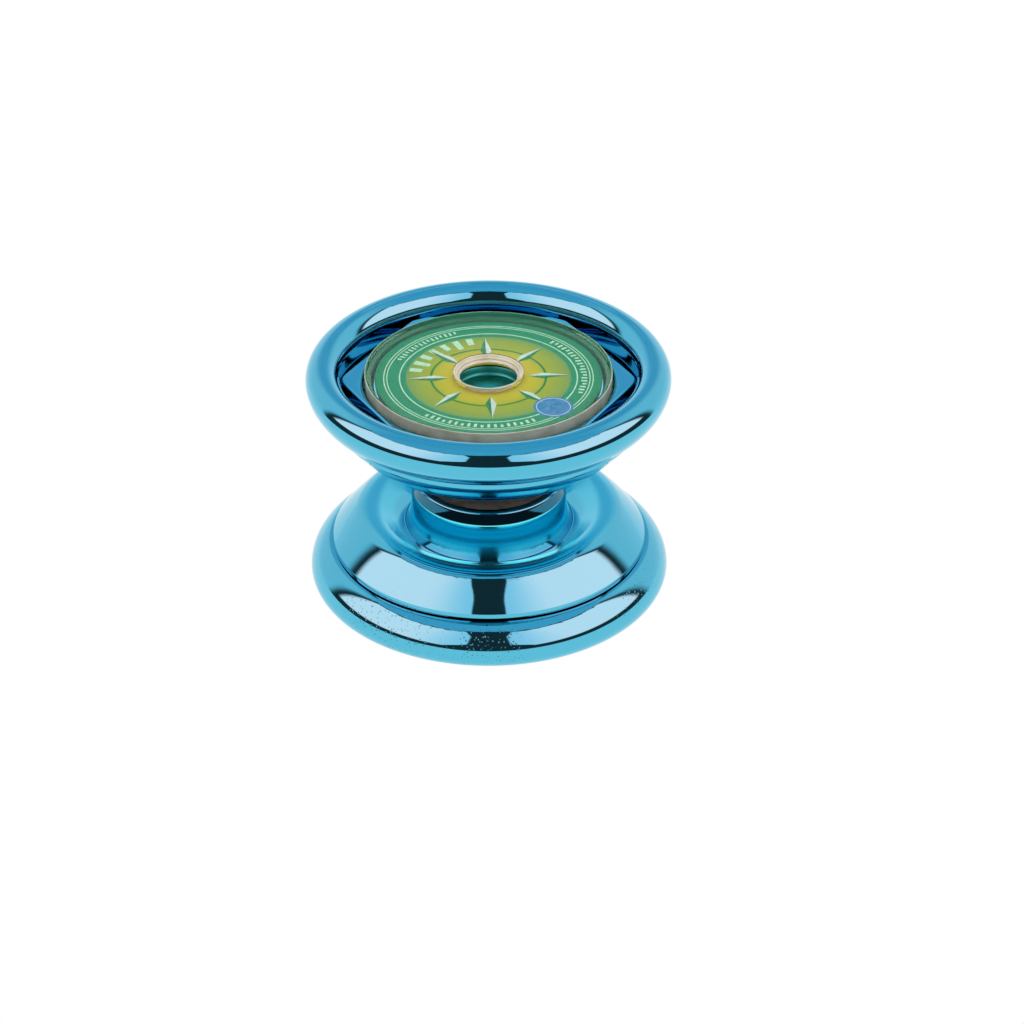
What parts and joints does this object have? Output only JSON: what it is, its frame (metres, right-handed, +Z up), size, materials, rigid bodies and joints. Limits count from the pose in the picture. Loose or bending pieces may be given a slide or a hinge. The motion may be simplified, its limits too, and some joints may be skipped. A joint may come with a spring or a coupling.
{
  "type": "yo-yo",
  "caption": "Take-apart ball-bearing yo-yo: two mirror-bright blue halves with rounded rims, printed labels under clear lenses, and a steel bearing on a threaded axle.",
  "frame": {"origin": "on the yo-yo axis, at the height of the surface that its lower lip stands on", "axes": "+Z up along the axle, from the lower half to the upper half; +X through a corner of the six-sided platforms; the joints rest screwed together"},
  "size_m": [0.056, 0.056, 0.0386],
  "materials": {
    "blue_metal": "mirror-bright blue plating",
    "blue_plated_plastic": "mirror-bright blue plating on moulded plastic",
    "printed_label": "printed card, green outside and yellow inside",
    "clear_lens": "clear moulded plastic, very slightly yellow",
    "cream_silicone": "matt silicone rubber",
    "steel": "ground bearing steel",
    "brass": "turned brass"
  },
  "bodies": {
    "lower_half": {"lower_rim": "blue_metal", "lower_body": "blue_metal", "lower_deck": "blue_plated_plastic", "lower_label": "printed_label", "lower_lens": "clear_lens", "lower_axle_nut": "brass", "lower_response_pad": "cream_silicone", "lower_spacer": "steel", "axle": "steel", "bearing_inner_race": "steel"},
    "bearing_outer": {"bearing_outer_race": "steel", "bearing_upper_shield": "steel", "bearing_lower_shield": "steel"},
    "ball_set": {"bearing_cage": "brass", "ball_1": "steel", "ball_2": "steel", "ball_3": "steel", "ball_4": "steel", "ball_5": "steel", "ball_6": "steel", "ball_7": "steel", "ball_8": "steel"},
    "upper_seat": {"upper_spacer": "steel"},
    "upper_half": {"upper_rim": "blue_metal", "upper_body": "blue_metal", "upper_deck": "blue_plated_plastic", "upper_label": "printed_label", "upper_lens": "clear_lens", "upper_axle_nut": "brass", "upper_response_pad": "cream_silicone"}
  },
  "joints": [
    {"name": "bearing_spin", "type": "hinge", "parent": "lower_half", "child": "bearing_outer", "pos_m": [0, 0, 0.0193], "axis": [0, 0, 1], "continuous": true},
    {"name": "ball_roll", "type": "hinge", "parent": "lower_half", "child": "ball_set", "pos_m": [0, 0, 0.0193], "axis": [0, 0, 1], "continuous": true},
    {"name": "half_turn", "type": "hinge", "parent": "lower_half", "child": "upper_seat", "pos_m": [0, 0, 0.0193], "axis": [0, 0, 1], "range_deg": [0, 2160]},
    {"name": "half_lift", "type": "slide", "parent": "upper_seat", "child": "upper_half", "axis": [0, 0, 1], "range_m": [0, 0.00421]}
  ],
  "couplings": [
    {"joint": "ball_roll", "follows": "bearing_spin", "ratio": 0.5833},
    {"joint": "half_lift", "follows": "half_turn", "m_per_rad": 0.00011141}
  ]
}
